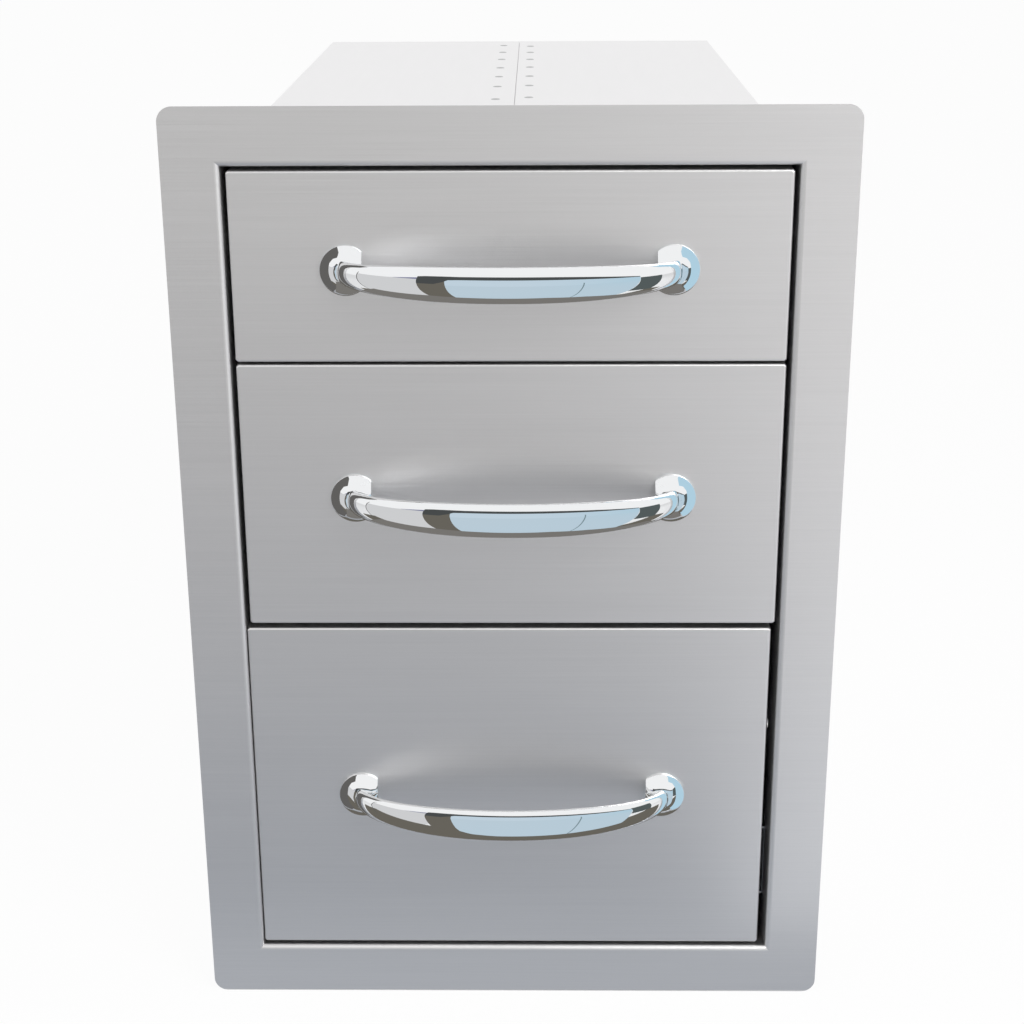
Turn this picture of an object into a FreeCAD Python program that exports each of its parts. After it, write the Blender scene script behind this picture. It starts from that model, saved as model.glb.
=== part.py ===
import FreeCAD, Part
import Sketcher
import math
import os

# Built-in stainless drawer unit with three drawers on telescopic ball-bearing slides.
# X runs left to right, Y from the front into the unit, Z up. The origin is the bottom centre
# of the seating plane, where the rear face of the frame's flange meets the surround.

VECTOR = FreeCAD.Vector
SIZES = {
    "frame_width": 362.0,
    "frame_height": 528.0,
    "frame_border": 31.0,
    "frame_corner": 8.0,
    "frame_sheet": 1.2,
    "frame_bend": 3.0,
    "frame_return": 22.0,
    "carcass_sheet": 1.2,
    "carcass_setback": 3.0,
    "carcass_depth": 590.0,
    "carcass_seam": 0.4,
    "splice_width": 44.0,
    "splice_margin": 2.0,
    "back_flange": 15.0,
    "mounting_hole": 5.2,
    "mounting_spacing": 210.0,
    "mounting_setback": 40.0,
    "front_sheet": 1.0,
    "front_bend": 1.3,
    "front_corner": 1.2,
    "front_depth": 20.0,
    "front_recess": 2.0,
    "front_side_gap": 2.4,
    "front_lowest_gap": 2.0,
    "front_lower_gap": 2.8,
    "front_upper_gap": 1.4,
    "front_highest_gap": 2.2,
    "bottom_front_share": 0.4467,
    "middle_front_share": 0.3294,
    "bottom_front_shift": -2.0,
    "liner_sheet": 0.8,
    "liner_depth": 10.0,
    "tray_sheet": 1.0,
    "tray_bend": 2.0,
    "tray_length": 548.0,
    "tray_rise": 12.0,
    "tray_drop": 20.0,
    "hem_height": 10.0,
    "slide_width": 12.7,
    "slide_height": 45.7,
    "slide_length": 550.0,
    "slide_sheet": 1.2,
    "slide_setback": 3.0,
    "slide_rise": 30.0,
    "slide_travel": 540.0,
    "flange_clearance": 1.5,
    "ball_race": 4.0,
    "middle_length": 480.0,
    "middle_setback": 20.0,
    "cage_sheet": 0.4,
    "cage_gap": 0.3,
    "cage_length": 200.0,
    "cage_margin": 10.0,
    "stop_length": 8.0,
    "stop_gap": 0.3,
    "stop_height": 18.0,
    "handle_span": 173.0,
    "handle_reach": 38.0,
    "bottom_handle_drop": 2.4,
    "middle_handle_drop": 0.0,
    "top_handle_drop": 1.0,
    "bottom_handle_shift": -0.8,
    "middle_handle_shift": 1.0,
    "top_handle_shift": -0.3,
    "grip_span": 177.0,
    "grip_height": 19.0,
    "grip_depth": 7.0,
    "neck_height": 12.4,
    "foot_radius": 13.5,
    "foot_flat": 9.0,
    "foot_rim": 2.4,
    "foot_shoulder_radius": 8.0,
    "foot_shoulder": 6.8,
    "foot_crown_radius": 5.0,
    "foot_crown": 8.0,
    "screw_radius": 2.5,
    "screw_clearance": 0.3,
    "screw_grip": 6.0,
    "screw_head_radius": 4.6,
    "screw_head_height": 3.5,
}

doc = FreeCAD.newDocument("drawer_unit")
sheet = doc.addObject("Spreadsheet::Sheet", "dim")
for row, (name, size) in enumerate(SIZES.items(), start=1):
    sheet.set(f"A{row}", name)
    sheet.set(f"B{row}", str(size))
    sheet.setAlias(f"B{row}", name)
doc.recompute()


def val(formula):
    """The number that a formula of sheet values gives."""
    return float(sheet.evalExpression(formula))


def both(formula, part):
    """A formula in brackets, with more terms after it."""
    return f"({formula}) {part}"


# Places that several pieces share, as formulas of the sheet's values.
OPENING_SIDE = "dim.frame_width / 2 - dim.frame_border"
OPENING_LOW = "dim.frame_border"
OPENING_HIGH = "dim.frame_height - dim.frame_border"
WALL_INNER = both(OPENING_SIDE, "+ dim.frame_sheet")
WALL_OUTER = both(WALL_INNER, "+ dim.carcass_sheet")
CARCASS_LOW = both(OPENING_LOW, "- dim.frame_sheet - dim.carcass_sheet")
CARCASS_HIGH = both(OPENING_HIGH, "+ dim.frame_sheet + dim.carcass_sheet")
FLOOR_LOW = both(OPENING_LOW, "- dim.frame_sheet")
ROOF_HIGH = both(OPENING_HIGH, "+ dim.frame_sheet")
CARCASS_BACK = "dim.carcass_setback + dim.carcass_depth"
FRONT_FACE = "dim.front_recess - dim.frame_sheet"
FRONT_REAR = both(FRONT_FACE, "+ dim.front_depth")
FRONT_HALF = both(OPENING_SIDE, "- dim.front_side_gap")
TRAY_HALF = both(WALL_INNER, "- dim.slide_width")
SLIDE_START = "dim.frame_return + dim.slide_setback"

# The fronts share what the four gaps leave of the opening's height.
GAPS = "dim.front_lowest_gap + dim.front_lower_gap + dim.front_upper_gap + dim.front_highest_gap"
FRONTS_HEIGHT = f"(dim.frame_height - 2 * dim.frame_border - ({GAPS}))"
BOTTOM_LOW = both(OPENING_LOW, "+ dim.front_lowest_gap")
BOTTOM_HIGH = both(BOTTOM_LOW, f"+ dim.bottom_front_share * {FRONTS_HEIGHT}")
MIDDLE_LOW = both(BOTTOM_HIGH, "+ dim.front_lower_gap")
MIDDLE_HIGH = both(MIDDLE_LOW, f"+ dim.middle_front_share * {FRONTS_HEIGHT}")
TOP_LOW = both(MIDDLE_HIGH, "+ dim.front_upper_gap")
TOP_HIGH = both(OPENING_HIGH, "- dim.front_highest_gap")
DRAWERS = {
    "bottom": (BOTTOM_LOW, BOTTOM_HIGH, "dim.bottom_front_shift"),
    "middle": (MIDDLE_LOW, MIDDLE_HIGH, "0"),
    "top": (TOP_LOW, TOP_HIGH, "0"),
}
SIDES = {"left": -1, "right": 1}
pieces = []


def new_body(label):
    body = doc.addObject("PartDesign::Body", label)
    body.Label = label
    pieces.append(body)
    return body


def new_sketch(body, name, role, offset=None):
    """A sketch on one of the body's own origin planes, moved along the plane's normal."""
    sketch = body.newObject("Sketcher::SketchObject", f"{body.Name}_{name}")
    plane = [item for item in body.Origin.OriginFeatures if item.Role == role][0]
    sketch.AttachmentSupport = [(plane, "")]
    sketch.MapMode = "FlatFace"
    if offset is not None:
        sketch.setExpression("AttachmentOffset.Base.z", offset)
    return sketch


def fix_point(sketch, item, point, across, up):
    """Ties one point of a line or circle to two formulas, counted from the sketch's origin."""
    for kind, formula in (("DistanceX", across), ("DistanceY", up)):
        number = sketch.addConstraint(Sketcher.Constraint(kind, -1, 1, item, point, val(formula)))
        sketch.setExpression(f"Constraints[{number}]", formula)


def draw_outline(sketch, corners):
    """A closed outline whose corners are pairs of formulas."""
    points = [VECTOR(val(across), val(up), 0) for across, up in corners]
    count = len(points)
    lines = []
    for index in range(count):
        line = Part.LineSegment(points[index], points[(index + 1) % count])
        lines.append(sketch.addGeometry(line, False))
    for index in range(count):
        following = lines[(index + 1) % count]
        sketch.addConstraint(Sketcher.Constraint("Coincident", lines[index], 2, following, 1))
    for index, (across, up) in enumerate(corners):
        fix_point(sketch, lines[index], 1, across, up)


def draw_rectangle(sketch, left, right, low, high):
    draw_outline(sketch, [(left, low), (right, low), (right, high), (left, high)])


def draw_circle(sketch, across, up, radius):
    centre = VECTOR(val(across), val(up), 0)
    circle = sketch.addGeometry(Part.Circle(centre, VECTOR(0, 0, 1), val(radius)), False)
    fix_point(sketch, circle, 3, across, up)
    number = sketch.addConstraint(Sketcher.Constraint("Radius", circle, val(radius)))
    sketch.setExpression(f"Constraints[{number}]", radius)


def add_pad(body, sketch, length, backwards=False):
    pad = body.newObject("PartDesign::Pad", f"{sketch.Name}_pad")
    pad.Profile = sketch
    pad.setExpression("Length", length)
    pad.Reversed = backwards
    doc.recompute()


def add_pocket(body, sketch, length, backwards=False):
    before = body.Tip.Shape.Volume
    pocket = body.newObject("PartDesign::Pocket", f"{sketch.Name}_pocket")
    pocket.Profile = sketch
    pocket.setExpression("Length", length)
    pocket.Reversed = backwards
    doc.recompute()
    if not pocket.Shape.Volume < before:
        raise ValueError(f"{pocket.Name} cuts nothing")


def pick_edges(base, wanted):
    """The names of the edges that the test wanted accepts, by their middle points."""
    numbered = enumerate(base.Shape.Edges, start=1)
    return [f"Edge{number}" for number, edge in numbered if wanted(edge.CenterOfMass, edge)]


def add_fillet(body, name, radius, wanted):
    base = body.Tip
    fillet = body.newObject("PartDesign::Fillet", f"{body.Name}_{name}")
    fillet.Base = (base, pick_edges(base, wanted))
    fillet.setExpression("Radius", radius)
    doc.recompute()


def add_chamfer(body, name, size, wanted):
    base = body.Tip
    chamfer = body.newObject("PartDesign::Chamfer", f"{body.Name}_{name}")
    chamfer.Base = (base, pick_edges(base, wanted))
    chamfer.setExpression("Size", size)
    doc.recompute()


def add_shell(body, name, thickness, open_face):
    """Hollows the body inwards and leaves the face that open_face accepts away."""
    base = body.Tip
    faces = []
    for number, face in enumerate(base.Shape.Faces, start=1):
        if open_face(face.CenterOfMass):
            faces.append(f"Face{number}")
    shell = body.newObject("PartDesign::Thickness", f"{body.Name}_{name}")
    shell.Base = (base, faces)
    shell.setExpression("Value", thickness)
    shell.Reversed = True
    doc.recompute()


def near(one, other):
    return abs(one - other) < 0.001


def along_y(edge):
    """Whether an edge is a straight line along the depth."""
    box = edge.BoundBox
    return box.YLength > 1 and box.XLength < 0.001 and box.ZLength < 0.001


def on_ring(mid, half_width, low, high):
    """Whether the middle of an edge lies on the rectangle of this half width between two heights."""
    on_side = near(abs(mid.x), half_width) and low < mid.z < high
    on_end = near(mid.x, 0) and (near(mid.z, low) or near(mid.z, high))
    return on_side or on_end


def make_face_frame():
    """Flat flange whose inner edges fold back into the opening, with mitred corners."""
    body = new_body("face_frame")
    flange = new_sketch(body, "flange", "XZ_Plane")
    draw_rectangle(flange, "-dim.frame_width / 2", "dim.frame_width / 2", "0", "dim.frame_height")
    draw_rectangle(flange, f"-({OPENING_SIDE})", OPENING_SIDE, OPENING_LOW, OPENING_HIGH)
    add_pad(body, flange, "dim.frame_sheet")
    ring = new_sketch(body, "return", "XZ_Plane")
    draw_rectangle(ring, f"-({WALL_INNER})", WALL_INNER, FLOOR_LOW, ROOF_HIGH)
    draw_rectangle(ring, f"-({OPENING_SIDE})", OPENING_SIDE, OPENING_LOW, OPENING_HIGH)
    add_pad(body, ring, "dim.frame_return", backwards=True)

    half_width = val("dim.frame_width / 2")
    front = val("-dim.frame_sheet")
    opening = (val(OPENING_SIDE), val(OPENING_LOW), val(OPENING_HIGH))
    wall = (val(WALL_INNER), val(FLOOR_LOW), val(ROOF_HIGH))
    add_fillet(body, "corners", "dim.frame_corner",
               lambda mid, edge: near(abs(mid.x), half_width) and near(mid.y, front / 2))
    add_fillet(body, "inner_bend", "dim.frame_bend - dim.frame_sheet",
               lambda mid, edge: near(mid.y, 0) and on_ring(mid, *wall))
    add_fillet(body, "outer_bend", "dim.frame_bend",
               lambda mid, edge: near(mid.y, front) and on_ring(mid, *opening))


def make_carcass_half(name, sign):
    """One of the two C-shaped wraps, with its half of the roof and floor, and its mounting holes."""
    body = new_body(f"carcass_{name}_half")
    profile = new_sketch(body, "profile", "XZ_Plane", "-dim.carcass_setback")
    seam = f"{sign} * dim.carcass_seam / 2"
    outer = f"{sign} * ({WALL_OUTER})"
    inner = f"{sign} * ({WALL_INNER})"
    draw_outline(profile, [
        (seam, CARCASS_LOW), (outer, CARCASS_LOW), (outer, CARCASS_HIGH), (seam, CARCASS_HIGH),
        (seam, ROOF_HIGH), (inner, ROOF_HIGH), (inner, FLOOR_LOW), (seam, FLOOR_LOW)])
    add_pad(body, profile, "dim.carcass_depth", backwards=True)
    outer_x = val(outer)
    add_fillet(body, "bends", "dim.carcass_sheet", lambda mid, edge: near(mid.x, outer_x) and along_y(edge))
    holes = new_sketch(body, "mounting_holes", "YZ_Plane", outer)
    for step in (-1, 1):
        draw_circle(holes, "dim.mounting_setback",
                    f"dim.frame_height / 2 + {step} * dim.mounting_spacing / 2", "dim.mounting_hole / 2")
    add_pocket(body, holes, "2 * dim.carcass_sheet", backwards=sign < 0)


def make_carcass_back():
    """Rear pan whose flanges fit inside the wraps."""
    body = new_body("carcass_back_panel")
    profile = new_sketch(body, "profile", "XZ_Plane", f"-({CARCASS_BACK})")
    draw_rectangle(profile, f"-({WALL_INNER})", WALL_INNER, FLOOR_LOW, ROOF_HIGH)
    add_pad(body, profile, "dim.back_flange")
    back = val(CARCASS_BACK)
    front = val(both(CARCASS_BACK, "- dim.back_flange"))
    add_chamfer(body, "bends", "dim.carcass_sheet", lambda mid, edge: near(mid.y, back))
    add_shell(body, "sheet", "dim.carcass_sheet", lambda mid: near(mid.y, front))


def make_splice(name, low, high):
    """Strip inside the wraps that joins their butted edges."""
    body = new_body(f"{name}_splice_strip")
    start = "dim.frame_return + dim.splice_margin"
    end = both(CARCASS_BACK, "- dim.back_flange - dim.splice_margin")
    profile = new_sketch(body, "profile", "XZ_Plane", f"-({start})")
    draw_rectangle(profile, "-dim.splice_width / 2", "dim.splice_width / 2", low, high)
    add_pad(body, profile, f"{end} - ({start})", backwards=True)


def make_front_panel(drawer, low, high, shift):
    """Outer pan of a drawer front, folded on all four sides and open to the rear."""
    body = new_body(f"{drawer}_front_panel")
    profile = new_sketch(body, "profile", "XZ_Plane", f"-({FRONT_FACE})")
    draw_rectangle(profile, f"-({FRONT_HALF}) + {shift}", f"{FRONT_HALF} + {shift}", low, high)
    add_pad(body, profile, "dim.front_depth", backwards=True)
    front = val(FRONT_FACE)
    rear = val(FRONT_REAR)
    add_chamfer(body, "corners", "dim.front_corner", lambda mid, edge: along_y(edge))
    add_fillet(body, "bends", "dim.front_bend", lambda mid, edge: near(mid.y, front))
    add_shell(body, "sheet", "dim.front_sheet", lambda mid: near(mid.y, rear))
    bore_for_screws(body, drawer, handle_level(drawer, low, high), FRONT_FACE, "2 * dim.front_sheet")


def make_front_liner(drawer, low, high, shift):
    """Inner pan that closes the rear of a drawer front and carries the tray."""
    body = new_body(f"{drawer}_front_liner")
    profile = new_sketch(body, "profile", "XZ_Plane", f"-({FRONT_REAR})")
    half = both(FRONT_HALF, "- dim.front_sheet")
    draw_rectangle(profile, f"-({half}) + {shift}", f"{half} + {shift}",
                   both(low, "+ dim.front_sheet"), both(high, "- dim.front_sheet"))
    add_pad(body, profile, "dim.liner_depth")
    rear = val(FRONT_REAR)
    front = val(both(FRONT_REAR, "- dim.liner_depth"))
    add_chamfer(body, "corners", "dim.front_corner", lambda mid, edge: along_y(edge))
    add_chamfer(body, "bends", "dim.liner_sheet", lambda mid, edge: near(mid.y, rear))
    add_shell(body, "sheet", "dim.liner_sheet", lambda mid: near(mid.y, front))


def make_tray(drawer, low, high):
    """Open-topped drawer tray folded from one sheet, with a doubled hem round the rim."""
    body = new_body(f"{drawer}_tray")
    floor = both(low, "+ dim.tray_rise")
    rim = both(high, "- dim.tray_drop")
    end = both(FRONT_REAR, "+ dim.tray_length")
    profile = new_sketch(body, "profile", "XY_Plane", floor)
    draw_rectangle(profile, f"-({TRAY_HALF})", TRAY_HALF, FRONT_REAR, end)
    add_pad(body, profile, f"{rim} - ({floor})")
    floor_z, rim_z = val(floor), val(rim)
    add_fillet(body, "bends", "dim.tray_bend", lambda mid, edge: near(mid.z, floor_z))
    add_shell(body, "sheet", "dim.tray_sheet", lambda mid: near(mid.z, rim_z))
    hem = new_sketch(body, "hem", "XY_Plane", rim)
    for inset in ("dim.tray_sheet", "2 * dim.tray_sheet"):
        draw_rectangle(hem, f"-({TRAY_HALF}) + {inset}", f"{TRAY_HALF} - {inset}",
                       both(FRONT_REAR, f"+ {inset}"), both(end, f"- {inset}"))
    add_pad(body, hem, "dim.hem_height", backwards=True)


def handle_level(drawer, low, high):
    """Height of a handle's middle, as a formula: the front's own middle less the drawer's drop."""
    return f"({low} + {high}) / 2 - dim.{drawer}_handle_drop"


def screw_place(drawer, step):
    """Distance of a handle screw from the middle of the unit, as a formula: step is -1 for the left one."""
    return f"{step} * dim.handle_span / 2 + dim.{drawer}_handle_shift"


def bore_for_screws(body, drawer, level, start, length):
    """Clearance holes for the two handle screws."""
    holes = new_sketch(body, "screw_holes", "XZ_Plane", f"-({start})")
    for step in (-1, 1):
        draw_circle(holes, screw_place(drawer, step), level, "dim.screw_radius + dim.screw_clearance")
    add_pocket(body, holes, length)


def foot_shape(side):
    """Round foot, stepped up in two bevels, with its inner side cut flat: side is -1 for the left one."""
    radius = val("dim.foot_radius")
    crown = val("dim.foot_crown")
    profile = Part.makePolygon([
        VECTOR(0, 0, 0), VECTOR(radius, 0, 0), VECTOR(radius, -val("dim.foot_rim"), 0),
        VECTOR(val("dim.foot_shoulder_radius"), -val("dim.foot_shoulder"), 0),
        VECTOR(val("dim.foot_crown_radius"), -crown, 0), VECTOR(0, -crown, 0), VECTOR(0, 0, 0)])
    foot = Part.Face(profile).revolve(VECTOR(0, 0, 0), VECTOR(0, 1, 0), 360)
    waste = Part.makeBox(radius, 2 * crown, 2 * radius, VECTOR(-radius, -1.5 * crown, -radius))
    waste.translate(VECTOR(-val("dim.foot_flat"), 0, 0))
    foot = foot.cut(waste)
    if side < 0:
        foot.rotate(VECTOR(0, 0, 0), VECTOR(0, 1, 0), 180)
    foot.translate(VECTOR(side * val("dim.handle_span / 2"), 0, 0))
    return foot


def grip_shape():
    """Bow along half an ellipse, lofted through eight-sided sections that swell to the middle."""
    half_span = val("dim.grip_span / 2")
    reach = val("dim.handle_reach")
    half_depth = val("dim.grip_depth / 2")
    tall, slim = val("dim.grip_height / 2"), val("dim.neck_height / 2")
    station_count = 8
    corner_count = 8
    grow = 1 / math.cos(math.pi / corner_count)
    sections = []
    for step in range(station_count + 1):
        angle = math.pi * (step / station_count - 0.5)
        half_height = tall - (tall - slim) * abs(math.sin(angle)) ** 2.5
        points = []
        for corner in range(corner_count + 1):
            turn = 2 * math.pi * (corner + 0.5) / corner_count
            across, up = half_depth * grow * math.cos(turn), half_height * grow * math.sin(turn)
            points.append(VECTOR(0, across, up))
        section = Part.makePolygon(points)
        tangent = VECTOR(half_span * math.cos(angle), reach * math.sin(angle), 0)
        section.Placement = FreeCAD.Placement(
            VECTOR(half_span * math.sin(angle), -reach * math.cos(angle), 0),
            FreeCAD.Rotation(VECTOR(1, 0, 0), tangent))
        sections.append(section)
    return Part.makeLoft(sections, True, False)


def make_handle(drawer, level):
    """Cast bow handle: the grip, two D-shaped feet and a blind screw hole in each."""
    shape = grip_shape()
    for side in (-1, 1):
        shape = shape.fuse(foot_shape(side))
    for side in (-1, 1):
        place = VECTOR(side * val("dim.handle_span / 2"), 0, 0)
        hole = Part.makeCylinder(val("dim.screw_radius"), val("dim.screw_grip"), place, VECTOR(0, -1, 0))
        shape = shape.cut(hole)
    handle = doc.addObject("Part::Feature", f"{drawer}_handle")
    handle.Label = f"{drawer}_handle"
    handle.Shape = shape
    handle.Placement = FreeCAD.Placement(
        VECTOR(val(f"dim.{drawer}_handle_shift"), val(FRONT_FACE), val(level)), FreeCAD.Rotation())
    pieces.append(handle)


def make_handle_screws(drawer, level):
    """Two hexagon-head screws from inside the hollow front into the handle's feet."""
    seat = both(FRONT_FACE, "+ dim.front_sheet")
    screws = []
    for step in (-1, 1):
        side = "left" if step < 0 else "right"
        shank = doc.addObject("Part::Cylinder", f"{drawer}_{side}_shank")
        shank.setExpression("Radius", "dim.screw_radius")
        shank.setExpression("Height", "dim.screw_grip + dim.front_sheet")
        head = doc.addObject("Part::Prism", f"{drawer}_{side}_head")
        head.Polygon = 6
        head.setExpression("Circumradius", "dim.screw_head_radius")
        head.setExpression("Height", "dim.screw_head_height")
        for part, start in ((shank, both(FRONT_FACE, "- dim.screw_grip")), (head, seat)):
            part.Placement.Rotation = FreeCAD.Rotation(VECTOR(1, 0, 0), -90)
            part.setExpression("Placement.Base.x", screw_place(drawer, step))
            part.setExpression("Placement.Base.y", start)
            part.setExpression("Placement.Base.z", level)
        screw = doc.addObject("Part::Fuse", f"{drawer}_{side}_screw")
        screw.Base = shank
        screw.Tool = head
        screws.append(screw)
    pair = doc.addObject("Part::Compound", f"{drawer}_handle_screws")
    pair.Label = f"{drawer}_handle_screws"
    pair.Links = screws
    pieces.append(pair)


# A slide's section is drawn from the carcass wall inwards: these are distances from that wall,
# and heights from the slide's middle.
CABINET_WEB = "dim.slide_sheet"
OUTER_CAGE_WEB = both(CABINET_WEB, "+ dim.cage_gap")
MIDDLE_WEB = both(OUTER_CAGE_WEB, "+ dim.cage_sheet + dim.cage_gap")
INNER_CAGE_WEB = both(MIDDLE_WEB, "+ dim.slide_sheet + dim.cage_gap")
DRAWER_FLANGE = both(INNER_CAGE_WEB, "+ dim.cage_sheet + dim.cage_gap")
FLANGE_TIP = "dim.slide_width - dim.flange_clearance"
CABINET_HIGH = "dim.slide_height / 2"
MIDDLE_HIGH_FLANGE = both(CABINET_HIGH, "- dim.slide_sheet - dim.ball_race")
DRAWER_HIGH_FLANGE = both(MIDDLE_HIGH_FLANGE, "- dim.slide_sheet - dim.ball_race")


def make_channel(label, sign, level, start, length, web, tip, height, thickness):
    """A C-shaped strip: web is its back, tip the end of its flanges and height its half height."""
    body = new_body(label)
    profile = new_sketch(body, "profile", "XZ_Plane", f"-({start})")

    def across(formula):
        return f"{sign} * ({WALL_INNER} - ({formula}))"

    inner_web = f"{web} {'+' if val(tip) > val(web) else '-'} {thickness}"
    up, down = f"{level} + {height}", f"{level} - ({height})"
    draw_outline(profile, [
        (across(web), down), (across(tip), down), (across(tip), f"{down} + {thickness}"),
        (across(inner_web), f"{down} + {thickness}"), (across(inner_web), f"{up} - {thickness}"),
        (across(tip), f"{up} - {thickness}"), (across(tip), up), (across(web), up)])
    add_pad(body, profile, length, backwards=True)
    back = val(across(web))
    add_chamfer(body, "bends", f"{thickness} * 2 / 3",
                lambda mid, edge: near(mid.x, back) and along_y(edge))


def make_slide(drawer, side, sign, low):
    """One telescopic slide: cabinet, middle and drawer members, with a ball cage in each race."""
    level = both(low, "+ dim.tray_rise + dim.slide_rise")
    middle_start = both(SLIDE_START, "+ dim.middle_setback")
    name = f"{drawer}_{side}"
    make_channel(f"{name}_cabinet_member", sign, level, SLIDE_START, "dim.slide_length",
                 "0", FLANGE_TIP, CABINET_HIGH, "dim.slide_sheet")
    make_channel(f"{name}_middle_member", sign, level, middle_start, "dim.middle_length",
                 MIDDLE_WEB, FLANGE_TIP, MIDDLE_HIGH_FLANGE, "dim.slide_sheet")
    make_channel(f"{name}_drawer_member", sign, level, SLIDE_START,
                 "dim.slide_length - dim.stop_length - dim.stop_gap",
                 "dim.slide_width", DRAWER_FLANGE, DRAWER_HIGH_FLANGE, "dim.slide_sheet")
    make_channel(f"{name}_outer_cage", sign, level,
                 both(SLIDE_START, "+ dim.slide_travel / 4 + dim.cage_margin"), "dim.cage_length",
                 OUTER_CAGE_WEB, both(FLANGE_TIP, "- dim.slide_sheet"),
                 both(MIDDLE_HIGH_FLANGE, "+ (dim.ball_race + dim.cage_sheet) / 2"), "dim.cage_sheet")
    make_channel(f"{name}_inner_cage", sign, level,
                 both(middle_start, "+ dim.slide_travel / 4 + dim.cage_margin"), "dim.cage_length",
                 INNER_CAGE_WEB, both(FLANGE_TIP, "- dim.slide_sheet"),
                 both(DRAWER_HIGH_FLANGE, "+ (dim.ball_race + dim.cage_sheet) / 2"), "dim.cage_sheet")


def make_rear_stops():
    """Rubber buffers in the rear ends of the cabinet members, which the drawer members close against."""
    blocks = []
    for drawer, (low, high, shift) in DRAWERS.items():
        for side, sign in SIDES.items():
            block = doc.addObject("Part::Box", f"{drawer}_{side}_stop")
            block.setExpression("Length", f"{FLANGE_TIP} - dim.slide_sheet")
            block.setExpression("Width", "dim.stop_length")
            block.setExpression("Height", "dim.stop_height")
            reach = FLANGE_TIP if sign > 0 else "dim.slide_sheet"
            block.setExpression("Placement.Base.x", f"{sign} * ({WALL_INNER} - ({reach}))")
            block.setExpression("Placement.Base.y", f"{SLIDE_START} + dim.slide_length - dim.stop_length")
            middle = both(low, "+ dim.tray_rise + dim.slide_rise")
            block.setExpression("Placement.Base.z", f"{middle} - dim.stop_height / 2")
            blocks.append(block)
    stops = doc.addObject("Part::Compound", "slide_rear_stops")
    stops.Label = "slide_rear_stops"
    stops.Links = blocks
    pieces.append(stops)


def build_unit():
    make_face_frame()
    for side, sign in SIDES.items():
        make_carcass_half(side, sign)
    make_carcass_back()
    make_splice("top", both(ROOF_HIGH, "- dim.carcass_sheet"), ROOF_HIGH)
    make_splice("bottom", FLOOR_LOW, both(FLOOR_LOW, "+ dim.carcass_sheet"))
    make_rear_stops()
    for drawer, (low, high, shift) in DRAWERS.items():
        make_front_panel(drawer, low, high, shift)
        make_front_liner(drawer, low, high, shift)
        make_tray(drawer, low, high)
        make_handle(drawer, handle_level(drawer, low, high))
        make_handle_screws(drawer, handle_level(drawer, low, high))
        for side, sign in SIDES.items():
            make_slide(drawer, side, sign, low)
    doc.recompute()


def check_objects():
    """Stops before anything is written if an object failed or a piece has no sound solid."""
    failed = [item.Name for item in doc.Objects if "Invalid" in item.State or "Error" in item.State]
    if failed:
        raise ValueError(f"objects that failed: {failed}")
    for piece in pieces:
        if piece.Shape.isNull() or not piece.Shape.isValid() or not piece.Shape.Solids:
            raise ValueError(f"{piece.Label} has no valid solid")


def write_pieces():
    os.makedirs("parts", exist_ok=True)
    for piece in pieces:
        piece.Shape.exportStep(f"parts/{piece.Label}.step")
        solids = piece.Shape.Solids
        print(piece.Label, len(solids), "solids,", round(sum(solid.Volume for solid in solids)), "mm3")
    print(len(pieces), "pieces")


build_unit()
check_objects()
write_pieces()
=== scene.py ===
import math

import bpy
from mathutils import Matrix, Vector


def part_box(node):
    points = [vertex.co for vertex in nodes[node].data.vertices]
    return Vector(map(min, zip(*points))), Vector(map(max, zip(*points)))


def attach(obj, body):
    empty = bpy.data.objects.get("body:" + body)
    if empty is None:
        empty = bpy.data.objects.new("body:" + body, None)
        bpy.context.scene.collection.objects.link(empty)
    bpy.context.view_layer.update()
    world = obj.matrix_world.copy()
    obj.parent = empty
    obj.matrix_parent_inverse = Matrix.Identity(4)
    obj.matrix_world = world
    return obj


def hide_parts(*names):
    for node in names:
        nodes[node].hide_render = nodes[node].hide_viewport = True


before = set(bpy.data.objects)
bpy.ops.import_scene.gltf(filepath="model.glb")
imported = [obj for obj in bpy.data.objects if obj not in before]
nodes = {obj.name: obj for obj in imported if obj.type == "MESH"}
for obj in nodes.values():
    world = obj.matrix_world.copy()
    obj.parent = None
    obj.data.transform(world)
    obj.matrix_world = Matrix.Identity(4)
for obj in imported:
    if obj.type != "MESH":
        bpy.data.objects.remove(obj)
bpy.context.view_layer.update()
drawers = ["bottom", "middle", "top"]
sides = {"left": -1, "right": 1}
mm = 0.001
mergeGap = 0.002 * mm


# helpers for modelling

def objectMode():
    if bpy.context.object and bpy.context.object.mode != "OBJECT":
        bpy.ops.object.mode_set(mode="OBJECT")


def nothingSelected():
    objectMode()
    bpy.ops.object.select_all(action="DESELECT")


def only(piece):
    nothingSelected()
    piece.select_set(True)
    bpy.context.view_layer.objects.active = piece


def applyPlace(piece):
    only(piece)
    bpy.ops.object.transform_apply(location=True, rotation=True, scale=True)


def pickFaces(piece, wanted):
    # selects, in edit mode, the faces whose normal passes the test
    objectMode()
    for vertex in piece.data.vertices:
        vertex.select = False
    for edge in piece.data.edges:
        edge.select = False
    for face in piece.data.polygons:
        face.select = wanted(face.normal)
    bpy.ops.object.mode_set(mode="EDIT")
    bpy.ops.mesh.select_mode(type="FACE")


def facesUp(normal):
    return normal.z > 0.9


def cleanMesh(piece):
    only(piece)
    bpy.ops.object.mode_set(mode="EDIT")
    bpy.ops.mesh.select_all(action="SELECT")
    bpy.ops.mesh.remove_doubles(threshold=mergeGap)
    bpy.ops.mesh.normals_make_consistent(inside=False)
    bpy.ops.object.mode_set(mode="OBJECT")


def smoothByAngle(piece, degrees):
    only(piece)
    bpy.ops.object.shade_smooth_by_angle(angle=math.radians(degrees))


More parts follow.
